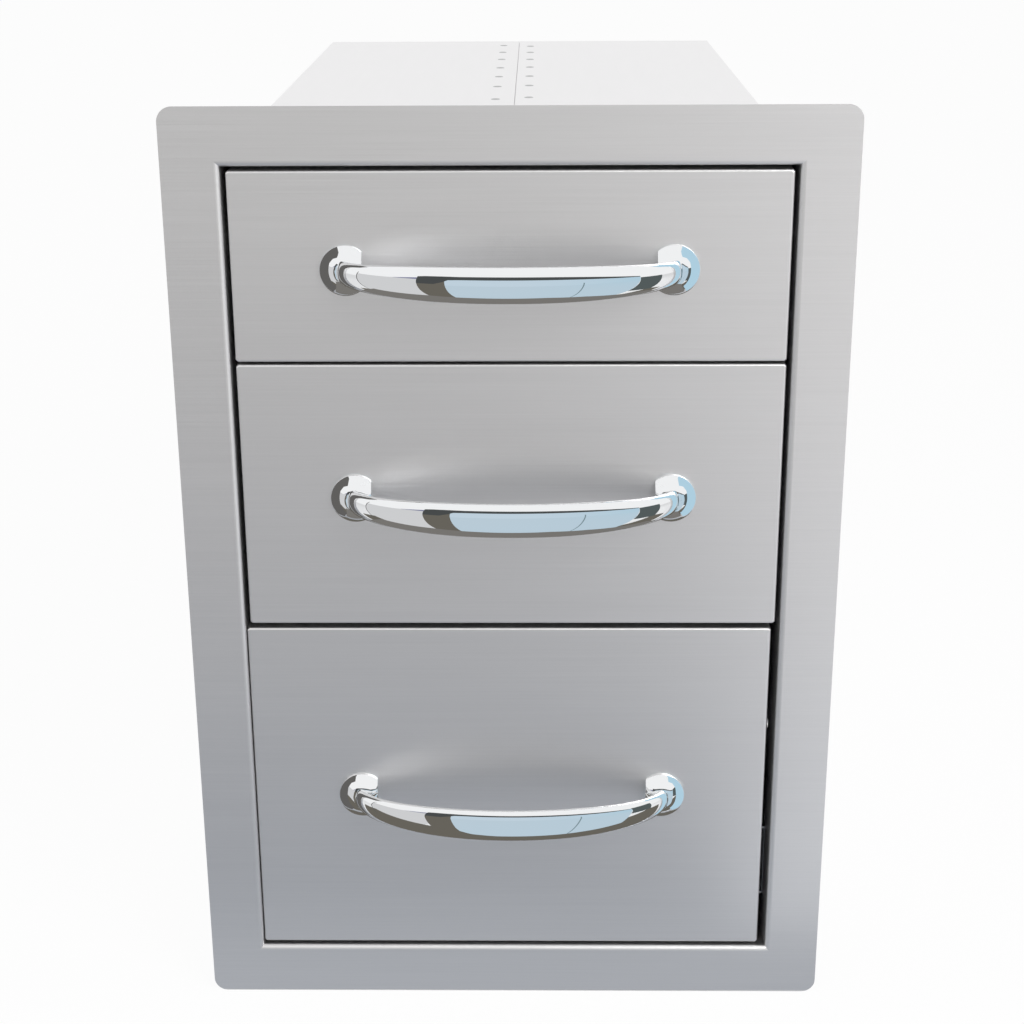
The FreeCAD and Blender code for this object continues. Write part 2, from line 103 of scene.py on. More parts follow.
def makeDisc(around, radius, high):
    # a short cylinder that stands on the origin
    nothingSelected()
    bpy.ops.mesh.primitive_cylinder_add(vertices=around, radius=radius, depth=high, end_fill_type="NGON",
                                        location=(0, 0, high / 2))
    disc = bpy.context.object
    applyPlace(disc)
    return disc


def riseInSteps(high, steps):
    # extrudes the picked faces upwards, each step with its share of the radius so far and of the height
    for share, rise in steps:
        bpy.ops.mesh.extrude_region_move(TRANSFORM_OT_translate={"value": (0, 0, high * rise)})
        bpy.ops.transform.resize(value=(share, share, 1), center_override=(0, 0, 0))


def applyBoolean(piece, kind, tool):
    # joins the tool to the piece or cuts it out, and removes the tool
    step = piece.modifiers.new("step", "BOOLEAN")
    step.operation = kind
    step.solver = "EXACT"
    step.object = tool
    only(piece)
    bpy.ops.object.modifier_apply(modifier="step")
    bpy.data.objects.remove(tool)


def copyAt(piece, name, move, turn=None):
    # a copy with its own mesh, turned about the origin and then moved
    twin = piece.copy()
    twin.data = piece.data.copy()
    twin.name = name
    bpy.context.scene.collection.objects.link(twin)
    twin.data.transform(Matrix.Translation(move) @ (turn or Matrix.Identity(4)))
    return twin


def turnOutward(sign):
    # turns +Z to the outer side
    return Matrix.Rotation(sign * math.pi / 2, 4, "Y")


def joinAs(parts, name):
    nothingSelected()
    for part in parts:
        part.select_set(True)
    bpy.context.view_layer.objects.active = parts[0]
    if len(parts) > 1:
        bpy.ops.object.join()
    whole = bpy.context.view_layer.objects.active
    whole.name = name
    whole.data.name = name
    return whole


def middleOf(name):
    # the middle of a node's box, across and up
    low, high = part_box(name)
    return (low.x + high.x) / 2, (low.z + high.z) / 2


def fromInside(low, high, sign, depth):
    # a place across, measured from the side of a box that faces the middle of the unit
    return sign * (min(abs(low.x), abs(high.x)) + depth)


def dress(piece, material):
    piece.data.materials.clear()
    piece.data.materials.append(material)


def putOn(piece, body, finish):
    dress(piece, materials[finish])
    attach(piece, body)


# helpers for materials; a tree is its nodes and links

def newMaterial(name):
    material = bpy.data.materials.new(name)
    material.use_nodes = True
    return material, (material.node_tree.nodes, material.node_tree.links)


def setValues(node, values):
    for label, value in values.items():
        node.inputs[label].default_value = value


def reckon(tree, kind, *values):
    # a Math node on numbers and outputs
    made, wire = tree
    node = made.new("ShaderNodeMath")
    node.operation = kind
    for socket, value in zip(node.inputs, values):
        if isinstance(value, (int, float)):
            socket.default_value = value
        else:
            wire.new(value, socket)
    return node.outputs[0]


def blend(tree, share, first, second, surface):
    # the first shader where the share is 0, the second where it is 1
    made, wire = tree
    mix = made.new("ShaderNodeMixShader")
    wire.new(share, mix.inputs["Fac"])
    wire.new(first.outputs[0], mix.inputs[1])
    wire.new(second.outputs[0], mix.inputs[2])
    wire.new(mix.outputs[0], surface)


# finishes

grainSizes = {
    "lines": {"Scale": 1.0, "Detail": 4.0, "Roughness": 0.65},
    "clouds": {"Scale": 0.02, "Detail": 2.0},
    "bumpHigh": 0.2 * mm,
}


def grainGroup():
    # fine lines left by the brushing belt, with slow clouds in the sheet under them
    group = bpy.data.node_groups.new("brushedGrain", "ShaderNodeTree")
    for label, kind in (("Place", "Vector"), ("Line Depth", "Float"), ("Cloud Depth", "Float"),
                        ("Roughness", "Float"), ("Roughness Spread", "Float"), ("Steel", "Color")):
        group.interface.new_socket(label, in_out="INPUT", socket_type="NodeSocket" + kind)
    for label, kind in (("Color", "Color"), ("Roughness", "Float"), ("Lines", "Float")):
        group.interface.new_socket(label, in_out="OUTPUT", socket_type="NodeSocket" + kind)
    tree = (group.nodes, group.links)
    made, wire = tree
    entry = made.new("NodeGroupInput")
    leave = made.new("NodeGroupOutput")
    lines = made.new("ShaderNodeTexNoise")
    clouds = made.new("ShaderNodeTexNoise")
    for noise, sizes in ((lines, grainSizes["lines"]), (clouds, grainSizes["clouds"])):
        setValues(noise, sizes)
        wire.new(entry.outputs["Place"], noise.inputs["Vector"])

    def swing(noise, depth):
        # the noise about zero, times its depth
        even = reckon(tree, "SUBTRACT", noise.outputs["Fac"], 0.5)
        return reckon(tree, "MULTIPLY", even, entry.outputs[depth])

    both = reckon(tree, "ADD", swing(lines, "Line Depth"), swing(clouds, "Cloud Depth"))
    tone = reckon(tree, "ADD", both, 1.0)
    scaled = made.new("ShaderNodeVectorMath")
    scaled.operation = "SCALE"
    wire.new(entry.outputs["Steel"], scaled.inputs[0])
    wire.new(tone, scaled.inputs["Scale"])
    wire.new(scaled.outputs[0], leave.inputs["Color"])
    rough = reckon(tree, "ADD", swing(lines, "Roughness Spread"), entry.outputs["Roughness"])
    wire.new(rough, leave.inputs["Roughness"])
    wire.new(lines.outputs["Fac"], leave.inputs["Lines"])
    return group


brushedGrain = grainGroup()

# spread: how much the roughness varies; stretch: the larger, the finer the grain along that axis
finishes = {
    "frame_steel": {"steel": (0.66, 0.655, 0.655), "rough": 0.40, "spread": 0.10,
                    "lines": 0.10, "clouds": 0.05, "stretch": (9, 900, 900), "bump": 0.3},
    "front_steel": {"steel": (0.66, 0.655, 0.655), "rough": 0.40, "spread": 0.10,
                    "lines": 0.10, "clouds": 0.05, "stretch": (9, 900, 900), "bump": 0.3},
    "carcass_steel": {"steel": (0.81, 0.805, 0.81), "rough": 0.42, "spread": 0.06,
                      "lines": 0.04, "clouds": 0.04, "stretch": (120, 12, 120), "bump": 0.01},
    "splice_steel": {"steel": (0.72, 0.715, 0.72), "rough": 0.42, "spread": 0.06,
                     "lines": 0.04, "clouds": 0.04, "stretch": (120, 12, 120), "bump": 0.01},
    # weld_mark is a darker grey: partly the welds' own tone, partly painted shade of the dimple rims
    "weld_mark": {"steel": (0.44, 0.44, 0.445), "rough": 0.5, "spread": 0.06,
                  "lines": 0.1, "clouds": 0.04, "stretch": (300, 300, 300), "bump": 0.01},
    "liner_steel": {"steel": (0.66, 0.66, 0.665), "rough": 0.42, "spread": 0.06,
                    "lines": 0.05, "clouds": 0.04, "stretch": (12, 120, 120), "bump": 0.01},
    "tray_steel": {"steel": (0.68, 0.68, 0.685), "rough": 0.38, "spread": 0.08,
                   "lines": 0.06, "clouds": 0.04, "stretch": (200, 12, 200), "bump": 0.01},
    "slide_zinc": {"steel": (0.66, 0.68, 0.70), "rough": 0.32, "spread": 0.12,
                   "lines": 0.05, "clouds": 0.12, "stretch": (300, 60, 300), "bump": 0.01},
    "cage_steel": {"steel": (0.55, 0.55, 0.56), "rough": 0.30, "spread": 0.08,
                   "lines": 0.05, "clouds": 0.05, "stretch": (300, 60, 300), "bump": 0.01},
    "screw_steel": {"steel": (0.62, 0.62, 0.63), "rough": 0.28, "spread": 0.06,
                    "lines": 0.04, "clouds": 0.04, "stretch": (300, 300, 300), "bump": 0.01},
}

plainFinishes = {
    "handle_chrome": {"Base Color": (0.86, 0.87, 0.88, 1.0), "Metallic": 1.0, "Roughness": 0.0},
    "buffer_rubber": {"Base Color": (0.025, 0.025, 0.027, 1.0), "Metallic": 0.0, "Roughness": 0.7},
}


def makeSteel(slot, look):
    material, tree = newMaterial(slot + "_finish")
    made, wire = tree
    shader = made["Principled BSDF"]
    shader.inputs["Metallic"].default_value = 1.0
    place = made.new("ShaderNodeTexCoord")
    stretch = made.new("ShaderNodeMapping")
    stretch.inputs["Scale"].default_value = look["stretch"]
    wire.new(place.outputs["Object"], stretch.inputs["Vector"])
    grain = made.new("ShaderNodeGroup")
    grain.node_tree = brushedGrain
    wire.new(stretch.outputs["Vector"], grain.inputs["Place"])
    setValues(grain, {"Line Depth": look["lines"], "Cloud Depth": look["clouds"], "Roughness": look["rough"],
                      "Roughness Spread": look["spread"], "Steel": (*look["steel"], 1.0)})
    wire.new(grain.outputs["Color"], shader.inputs["Base Color"])
    wire.new(grain.outputs["Roughness"], shader.inputs["Roughness"])
    bump = made.new("ShaderNodeBump")
    setValues(bump, {"Strength": look["bump"], "Distance": grainSizes["bumpHigh"]})
    wire.new(grain.outputs["Lines"], bump.inputs["Height"])
    wire.new(bump.outputs["Normal"], shader.inputs["Normal"])
    return material


def makePlain(slot, look):
    material, tree = newMaterial(slot + "_finish")
    setValues(tree[0]["Principled BSDF"], look)
    return material


materials = {slot: makeSteel(slot, look) for slot, look in finishes.items()}
materials.update({slot: makePlain(slot, look) for slot, look in plainFinishes.items()})

for node in nodes.values():
    for holder in node.material_slots:
        holder.material = materials[holder.material.name.split(".")[0]]
print("finishes on the nodes:", len(nodes))


handleSizes = {
    "halfSpan": 88.5 * mm,      # centre line of the bar, across
    "reach": 38 * mm,           # centre line of the bar, out from the drawer face
    "face": 0.8 * mm,           # drawer face
    "halfHigh": 9.5 * mm,       # in the middle of the bar
    "endLoss": 3.3 * mm,        # how much of that is lost at the feet
    "lossPower": 2.5,           # the higher, the nearer to the feet it is lost
    "halfThick": 3.5 * mm,
    "round": 48,                # points round the bar
    "stations": 72,             # along the bar
    "footAcross": 86.5 * mm,
    "footRadius": 13.5 * mm,
    "footFlat": 77.5 * mm,
    "footRim": 2.0 * mm,
    # radius and height of the rings from the rim up to the crown, mm
    "footRings": [(13.45, 2.1), (13.3, 2.3), (12.9, 2.65), (11.2, 4.05), (9.4, 5.4), (7.6, 6.6), (6.4, 7.15),
                  (5.2, 7.5)],
    "footEdge": 0.45 * mm,
    "footEdgeSteps": 3,
    "footRound": 72,
    "smoothTo": 32,             # degrees between two faces that still look like one
}


def barPoint(turn):
    h = handleSizes
    return Vector((h["halfSpan"] * math.sin(turn), h["face"] - h["reach"] * math.cos(turn), 0.0))


def barHalfHigh(turn):
    h = handleSizes
    return h["halfHigh"] - h["endLoss"] * abs(math.sin(turn)) ** h["lossPower"]


def barHeading(turn):
    # angle of the bar's run in the XY plane
    h = handleSizes
    return math.atan2(h["reach"] * math.sin(turn), h["halfSpan"] * math.cos(turn))


def makeBar():
    h = handleSizes
    turns = [math.pi * (step / h["stations"] - 0.5) for step in range(h["stations"] + 1)]
    nothingSelected()
    bpy.ops.mesh.primitive_circle_add(vertices=h["round"], radius=1, fill_type="NGON", location=(0, 0, 0))
    bar = bpy.context.object
    bar.scale = (2 * h["halfThick"] / bar.dimensions.x, 2 * barHalfHigh(turns[0]) / bar.dimensions.y, 1)
    bar.rotation_euler = (math.pi / 2, 0, 0)
    bar.location = barPoint(turns[0])
    applyPlace(bar)
    bpy.ops.object.mode_set(mode="EDIT")
    bpy.ops.mesh.select_all(action="SELECT")
    for before, after in zip(turns, turns[1:]):
        place = barPoint(after)
        growth = barHalfHigh(after) / barHalfHigh(before)
        bpy.ops.mesh.extrude_region_move(TRANSFORM_OT_translate={"value": place - barPoint(before)})
        bpy.ops.transform.rotate(value=-(barHeading(after) - barHeading(before)), orient_axis="Z",
                                 center_override=place)
        bpy.ops.transform.resize(value=(1, 1, growth), center_override=place)
    bpy.ops.object.mode_set(mode="OBJECT")
    cleanMesh(bar)
    return bar


def makeFoot(sign):
    h = handleSizes
    nothingSelected()
    centre = Vector((sign * h["footAcross"], h["face"] - h["footRim"] / 2, 0))
    bpy.ops.mesh.primitive_cylinder_add(vertices=h["footRound"], radius=h["footRadius"], depth=h["footRim"],
                                        end_fill_type="NGON", location=centre, rotation=(math.pi / 2, 0, 0))
    foot = bpy.context.object
    applyPlace(foot)
    pickFaces(foot, lambda normal: normal.y < -0.9)
    radius, high = h["footRadius"], h["footRim"]
    for ring in h["footRings"]:
        nextRadius, nextHigh = ring[0] * mm, ring[1] * mm
        share = nextRadius / radius
        bpy.ops.mesh.extrude_region_move(TRANSFORM_OT_translate={"value": (0, high - nextHigh, 0)})
        bpy.ops.transform.resize(value=(share, 1, share), center_override=(centre.x, 0, 0))
        radius, high = nextRadius, nextHigh
    bpy.ops.mesh.select_all(action="SELECT")
    bpy.ops.mesh.bisect(plane_co=(sign * h["footFlat"], 0, 0), plane_no=(sign, 0, 0), use_fill=True,
                        clear_inner=True)
    pickFaces(foot, lambda normal: normal.x * sign < -0.99)
    bpy.ops.mesh.region_to_loop()
    bpy.ops.mesh.bevel(offset=h["footEdge"], segments=h["footEdgeSteps"], affect="EDGES", clamp_overlap=True)
    bpy.ops.object.mode_set(mode="OBJECT")
    cleanMesh(foot)
    return foot


def makeHandles():
    handle = makeBar()
    for sign in sides.values():
        applyBoolean(handle, "UNION", makeFoot(sign))
    cleanMesh(handle)
    smoothByAngle(handle, handleSizes["smoothTo"])
    for drawer in drawers:
        middle, level = middleOf(drawer + "_handle")
        piece = copyAt(handle, drawer + "_bow_handle", Vector((middle, 0, level)))
        putOn(piece, drawer + "_drawer", "handle_chrome")
        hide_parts(drawer + "_handle")
    bpy.data.objects.remove(handle)
    print("handles: 3")


makeHandles()


weldSizes = {
    "radius": 3.0 * mm,
    "lip": 0.18 * mm,
    "round": 24,
    "top": 0.82,                # shares of the radius
    "lipWide": 0.22,
    "floorWide": 0.3,
    "hollow": 0.85,             # share of the lip's height
    "across": {"left": -12.3 * mm, "right": 8.9 * mm},
    # back from the frame, mm
    "places": {"left": [240.8, 303.8, 357.8, 409.8, 463.8, 511.8, 560.8],
               "right": [248.8, 308.8, 360.3, 413.8, 463.3, 510.8, 554.8]},
    "smoothTo": 60,
}

rivetSizes = {
    "radius": 2.9 * mm,
    "high": 1.1 * mm,
    "round": 20,
    "wall": 0.4,                # share of the height that stands straight
    "steps": [(0.86, 0.3), (0.78, 0.2), (0.6, 0.1)],
    "places": [60, 230, 400, 545],
    "smoothTo": 60,
}


def makeWeld():
    # a shallow dimple with a soft lip, facing up
    w = weldSizes
    weld = makeDisc(w["round"], w["radius"], w["lip"])
    pickFaces(weld, facesUp)
    bpy.ops.transform.resize(value=(w["top"], w["top"], 1), center_override=(0, 0, 0))
    bpy.ops.mesh.inset(thickness=w["radius"] * w["lipWide"])
    bpy.ops.transform.translate(value=(0, 0, -w["lip"] * w["hollow"]))
    bpy.ops.mesh.inset(thickness=w["radius"] * w["floorWide"])
    bpy.ops.object.mode_set(mode="OBJECT")
    cleanMesh(weld)
    smoothByAngle(weld, w["smoothTo"])
    return weld


def makeRivet():
    # a low domed head, facing +Z
    r = rivetSizes
    rivet = makeDisc(r["round"], r["radius"], r["high"] * r["wall"])
    pickFaces(rivet, facesUp)
    riseInSteps(r["high"], r["steps"])
    bpy.ops.object.mode_set(mode="OBJECT")
    cleanMesh(rivet)
    smoothByAngle(rivet, r["smoothTo"])
    return rivet


def makeCabinetMarks():
    weld, rivet = makeWeld(), makeRivet()
    low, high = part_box("carcass_left_half")
    walls = {"left": low.x, "right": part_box("carcass_right_half")[1].x}
    flip = Matrix.Rotation(math.pi, 4, "X")
    marks = []
    for side, across in weldSizes["across"].items():
        for back in weldSizes["places"][side]:
            marks.append(copyAt(weld, "weld", Vector((across, back * mm, high.z))))
            marks.append(copyAt(weld, "weld", Vector((across, back * mm, low.z)), flip))
    # the welds' darker grey is partly their own tone and partly painted shade of the dimple rims
    putOn(joinAs(marks, "splice_spot_welds"), "cabinet", "weld_mark")
    heads = []
    for side, sign in sides.items():
        for drawer in drawers:
            level = middleOf(f"{drawer}_{side}_cabinet_member")[1]
            for back in rivetSizes["places"]:
                heads.append(copyAt(rivet, "rivet", Vector((walls[side], back * mm, level)), turnOutward(sign)))
    putOn(joinAs(heads, "slide_rivets"), "cabinet", "screw_steel")
    bpy.data.objects.remove(weld)
    bpy.data.objects.remove(rivet)
    print("spot welds:", len(marks), "rivets:", len(heads))


makeCabinetMarks()


ballSizes = {
    "radius": 1.85 * mm,
    "step": 12.5 * mm,
    "along": 15,
    "inward": 2.6 * mm,         # from the cage's inner side to the middle of the balls
    "cageWall": 0.2 * mm,       # half of the cage's sheet
    "smoothTo": 80,
}

screwSizes = {
    "radius": 3.2 * mm,
    "high": 1.6 * mm,
    "round": 24,
    "wall": 0.6,                # share of the height that stands straight
    "steps": [(0.9, 0.22), (0.78, 0.18)],
    "slotLong": 1.1,            # shares of the radius
    "slotWide": 0.24,
    "web": 1.2 * mm,            # from the member's inner side to its web
    "places": [70, 300, 530],
    "smoothTo": 40,
}


def makeBall():
    nothingSelected()
    bpy.ops.mesh.primitive_ico_sphere_add(subdivisions=2, radius=ballSizes["radius"], location=(0, 0, 0))
    ball = bpy.context.object
    smoothByAngle(ball, ballSizes["smoothTo"])
    return ball


def makePanScrew():
    # a pan head with a cross slot, facing +Z
    s = screwSizes
    screw = makeDisc(s["round"], s["radius"], s["high"] * s["wall"])
    pickFaces(screw, facesUp)
    riseInSteps(s["high"], s["steps"])
    bpy.ops.object.mode_set(mode="OBJECT")
    cleanMesh(screw)
    for long, wide in ((s["slotLong"], s["slotWide"]), (s["slotWide"], s["slotLong"])):
        nothingSelected()
        bpy.ops.mesh.primitive_cube_add(size=1, location=(0, 0, s["high"]),
                                        scale=(s["radius"] * long, s["radius"] * wide, s["high"]))
        applyBoolean(screw, "DIFFERENCE", bpy.context.object)
    smoothByAngle(screw, s["smoothTo"])
    return screw


def fillCage(ball, cage, sign):
    # an upper and a lower row of balls in one cage
    b = ballSizes
    low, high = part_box(cage)
    across = fromInside(low, high, sign, b["inward"])
    first = (low.y + high.y) / 2 - b["step"] * (b["along"] - 1) / 2
    row = []
    for step in range(b["along"]):
        for level in (low.z + b["cageWall"], high.z - b["cageWall"]):
            row.append(copyAt(ball, "ball", Vector((across, first + step * b["step"], level))))
    putOn(joinAs(row, cage + "_balls"), cage, "screw_steel")
    return len(row)


def makeSlideDetails():
    ball, screw = makeBall(), makePanScrew()
    balls = 0
    for drawer in drawers:
        heads = []
        for side, sign in sides.items():
            for cage in ("outer_cage", "inner_cage"):
                balls += fillCage(ball, f"{drawer}_{side}_{cage}", sign)
            member = f"{drawer}_{side}_drawer_member"
            web = fromInside(*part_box(member), sign, screwSizes["web"])
            level = middleOf(member)[1]
            for back in screwSizes["places"]:
                heads.append(copyAt(screw, "screw", Vector((web, back * mm, level)), turnOutward(sign)))
        putOn(joinAs(heads, drawer + "_slide_screws"), drawer + "_drawer", "screw_steel")
    bpy.data.objects.remove(ball)
    bpy.data.objects.remove(screw)
    print("slide balls:", balls)


makeSlideDetails()


studio = {
    "floorSize": 60,
    "floorTone": 0.86,
    "floorRough": 0.9,
    "floorWhite": 0.94,         # share of the floor that is plain white to the camera
    "floorGloss": 0.5,          # the same in metal
    "skyLight": 0.62,           # what matt surfaces get from all round
    "lamps": {
        "keyLamp": {"place": (1.3, -1.5, 1.7), "size": 1.2, "power": 26},
        "fillLamp": {"place": (-1.6, -1.2, 1.2), "size": 1.4, "power": 6},
    },
    "lampAim": (0, 0, 0.3),
    "lampShare": 0.42,          # how bright a lamp is in brushed steel, for its power and area
}


def makeWorld():
    world = bpy.data.worlds.new("whiteStudio")
    bpy.context.scene.world = world
    world.use_nodes = True
    tree = (world.node_tree.nodes, world.node_tree.links)
    made, wire = tree
    made.clear()
    path = made.new("ShaderNodeLightPath")
    seen = reckon(tree, "MAXIMUM", path.outputs["Is Camera Ray"], path.outputs["Is Glossy Ray"])
    through = reckon(tree, "MAXIMUM", seen, path.outputs["Is Transmission Ray"])
    lighting = made.new("ShaderNodeBackground")
    setValues(lighting, {"Color": (1, 1, 1, 1), "Strength": studio["skyLight"]})
    white = made.new("ShaderNodeBackground")
    setValues(white, {"Color": (1, 1, 1, 1), "Strength": 1.0})
    leave = made.new("ShaderNodeOutputWorld")
    blend(tree, through, lighting, white, leave.inputs["Surface"])


def makeFloor():
    nothingSelected()
    bpy.ops.mesh.primitive_plane_add(size=studio["floorSize"], location=(0, 0, 0))
    floor = bpy.context.object
    floor.name = "studio_floor"
    material, tree = newMaterial("paleFloor")
    made, wire = tree
    shader = made["Principled BSDF"]
    setValues(shader, {"Base Color": (*[studio["floorTone"]] * 3, 1), "Roughness": studio["floorRough"]})
    glow = made.new("ShaderNodeEmission")
    setValues(glow, {"Color": (1, 1, 1, 1), "Strength": 1.0})
    path = made.new("ShaderNodeLightPath")
    seen = reckon(tree, "MULTIPLY", path.outputs["Is Camera Ray"], studio["floorWhite"])
    share = reckon(tree, "MULTIPLY_ADD", path.outputs["Is Glossy Ray"], studio["floorGloss"], seen)
    blend(tree, share, shader, glow, made["Material Output"].inputs["Surface"])
    dress(floor, material)


def addFade(tree, glow, card):
    # from the board's colour to another one along a line on it
    made, wire = tree
    fade = card["fade"]
    place = made.new("ShaderNodeTexCoord")
    along = made.new("ShaderNodeVectorMath")
    along.operation = "DOT_PRODUCT"
    along.inputs[1].default_value = fade["along"]
    wire.new(place.outputs["Object"], along.inputs[0])
    share = made.new("ShaderNodeMapRange")
    setValues(share, {"From Min": fade["start"], "From Max": fade["end"]})
    wire.new(along.outputs["Value"], share.inputs["Value"])
    tint = made.new("ShaderNodeMix")
    tint.data_type = "RGBA"
    setValues(tint, {"A": (*card["colour"], 1), "B": (*fade["colour"], 1)})
    wire.new(share.outputs["Result"], tint.inputs["Factor"])
    wire.new(tint.outputs["Result"], glow.inputs["Color"])


def makeCard(name, card):
    # a board that only metal shows: a sharp one in the chrome, a soft one in the brushed steel
    nothingSelected()
    bpy.ops.mesh.primitive_circle_add(vertices=len(card["corners"]), radius=1, fill_type="NGON")
    board = bpy.context.object
    board.name = name
    for vertex, corner in zip(board.data.vertices, card["corners"]):
        vertex.co = corner
    material, tree = newMaterial(name)
    made, wire = tree
    made.remove(made["Principled BSDF"])
    glow = made.new("ShaderNodeEmission")
    glow.inputs["Color"].default_value = (*card["colour"], 1)
    if "fade" in card:
        addFade(tree, glow, card)
    clear = made.new("ShaderNodeBsdfTransparent")
    path = made.new("ShaderNodeLightPath")
    share = path.outputs["Is Singular Ray"]
    if card.get("fromAbove"):
        # not shown to what looks up at it
        shape = made.new("ShaderNodeNewGeometry")
        share = reckon(tree, "SUBTRACT", share, shape.outputs["Backfacing"])
        share.node.use_clamp = True
    first, second = (clear, glow) if card["sharp"] else (glow, clear)
    blend(tree, share, first, second, made["Material Output"].inputs["Surface"])
    dress(board, material)
    board.visible_camera = False
    board.visible_diffuse = False
    board.visible_shadow = False
    board.visible_transmission = False


def makeLamp(name, lamp):
    light = bpy.data.lights.new(name, "AREA")
    light.size = lamp["size"]
    light.energy = lamp["power"]
    holder = bpy.data.objects.new(name, light)
    place = Vector(lamp["place"])
    holder.location = place
    holder.rotation_euler = (Vector(studio["lampAim"]) - place).to_track_quat("-Z", "Y").to_euler()
    bpy.context.scene.collection.objects.link(holder)
    holder.visible_glossy = False
    # what the brushed steel sees of the lamp; the chrome sees plain white there
    turn = holder.rotation_euler.to_matrix()
    half = lamp["size"] / 2
    corners = [place + turn @ Vector((x * half, y * half, 0)) for x, y in ((-1, -1), (1, -1), (1, 1), (-1, 1))]
    bright = studio["lampShare"] * lamp["power"] / lamp["size"] ** 2
    makeCard(name + "Board", {"sharp": False, "colour": (bright,) * 3, "corners": corners})


def lying(level, *corners):
    # corners of a board on the floor, each across and back
    return [(x, y, level) for x, y in corners]


def facing(back, *corners):
    # corners of a board that stands across, each across and up
    return [(x, back, z) for x, z in corners]


def beside(across, *corners):
    # corners of a board that stands at one side, each back and up
    return [(across, y, z) for y, z in corners]


boardTones = {
    "pale": (0.70, 0.70, 0.705),
    "brown": (0.155, 0.143, 0.12),
    "seam": (0.22, 0.30, 0.33),
    "green": (0.10, 0.12, 0.12),
    "line": (0.12, 0.12, 0.12),
}
blueFade = {"along": (1, 0.2, 0), "start": -0.35, "end": 2.0, "colour": (0.50, 0.68, 0.79)}

# each board by its corners in order, seen from the unit
cards = {
    "softFloor": {
        "sharp": False, "colour": (0.415, 0.445, 0.495),
        "corners": lying(0.0005, (-4.0, 0.0), (-4.0, -5.0), (4.0, -5.0), (4.0, 0.0)),
        "fade": {"along": (0, -1, 0), "start": 0.1, "end": 1.0, "colour": (0.56, 0.555, 0.56)}},
    "softStep": {
        "sharp": False, "colour": (0.53, 0.56, 0.61),
        "corners": lying(0.0007, (-0.6, 0.0), (-0.6, -0.08), (0.6, -0.08), (0.6, 0.0))},
    "softRight": {
        "sharp": False, "colour": (0.82, 0.85, 0.90),
        "corners": lying(0.0006, (0.12, 0.0), (0.2, -0.4), (0.5, -2.6), (2.8, -2.6), (2.8, 0.0)),
        "fade": {"along": (0, -1, 0), "start": 0.1, "end": 1.0, "colour": (1.18, 1.17, 1.175)}},
    "softBack": {
        "sharp": False, "colour": (0.72, 0.715, 0.70),
        "corners": facing(-2.5, (-1.3, 0.0), (0.4, 0.0), (0.4, 1.1), (-1.3, 1.1))},
    "paleFloor": {
        "sharp": True, "colour": boardTones["pale"],
        "corners": lying(0.0008, (-0.12, -0.05), (-0.2, -0.3), (-1.475, -2.24), (-2.6, -2.24), (-2.6, -0.57))},
    "paleBack": {
        "sharp": True, "colour": boardTones["pale"],
        "corners": facing(-2.242, (-2.6, 0.0), (-1.45, 0.0), (-1.45, 0.8), (-2.6, 0.8))},
    "paleSide": {
        "sharp": True, "colour": boardTones["pale"],
        "corners": beside(-2.6, (-0.57, 0.0), (-2.242, 0.0), (-2.242, 0.8), (-0.57, 0.8))},
    "brownFloor": {
        "sharp": True, "colour": boardTones["brown"],
        "corners": lying(0.001, (-0.6, 0.0), (-0.6, -0.2), (-0.151, -0.2), (-1.475, -2.24), (-0.904, -2.24),
                         (0.2, -0.2), (0.6, -0.2), (0.6, 0.0))},
    "brownBoard": {
        "sharp": True, "colour": boardTones["brown"],
        "corners": facing(-2.24, (-1.475, 0.0), (-0.904, 0.0), (-0.904, 0.62), (-1.475, 0.62))},
    "blueFloor": {
        "sharp": True, "colour": (0.56, 0.68, 0.765),
        "corners": lying(0.002, (-0.02, -0.125), (-0.055, -0.14), (-0.082, -0.175), (-0.108, -0.235),
                         (-0.904, -2.24), (3.1, -2.24), (0.182, -0.125)),
        "fade": blueFade},
    "blueBoard": {
        "sharp": True, "colour": (0.60, 0.72, 0.81),
        "corners": facing(-2.24, (-0.904, 0.0), (3.1, 0.0), (3.1, 0.62), (-0.904, 0.62)),
        "fade": blueFade},
    "seamFloor": {
        "sharp": True, "colour": boardTones["seam"],
        "corners": lying(0.003, (0.069, -0.125), (1.01, -2.238), (1.035, -2.238), (0.071, -0.125))},
    "seamBoard": {
        "sharp": True, "colour": boardTones["seam"],
        "corners": facing(-2.238, (1.01, 0.0), (1.035, 0.0), (1.035, 0.2), (1.01, 0.2))},
    "darkBoard": {
        "sharp": True, "colour": (0.075, 0.08, 0.08),
        "corners": facing(-2.236, (-1.475, 0.1), (-1.1, 0.1), (-0.93, 0.35), (-0.85, 0.56), (-0.7, 0.59),
                          (3.1, 0.59), (3.1, 0.72), (2.0, 0.82), (0.6, 0.95), (-0.7, 1.0), (-0.95, 1.06),
                          (-1.3, 1.1), (-1.475, 1.05))},
    "dashBoard": {
        "sharp": True, "colour": (0.22, 0.23, 0.36),
        "corners": facing(-2.24, (-2.3, 0.76), (-1.48, 0.62), (-1.48, 0.86), (-2.3, 0.8))},
    "greenBoard": {
        "sharp": True, "colour": boardTones["green"],
        "corners": beside(1.3, (-0.92, 0.0), (-0.31, 0.0), (-0.31, 0.44), (-0.92, 0.44))},
    "greenFloor": {
        "sharp": True, "colour": boardTones["green"],
        "corners": lying(0.003, (0.475, -0.334), (1.3, -0.92), (1.3, -0.31), (0.56, -0.144))},
    "lineBoard": {
        "sharp": True, "colour": boardTones["line"],
        "corners": beside(-1.6, (-0.335, 0.0), (-0.365, 0.0), (-0.365, 0.85), (-0.335, 0.85))},
    "lineFloor": {
        "sharp": True, "colour": boardTones["line"],
        "corners": lying(0.003, (-0.3, -0.085), (-1.6, -0.335), (-1.6, -0.365), (-0.3, -0.09))},
}
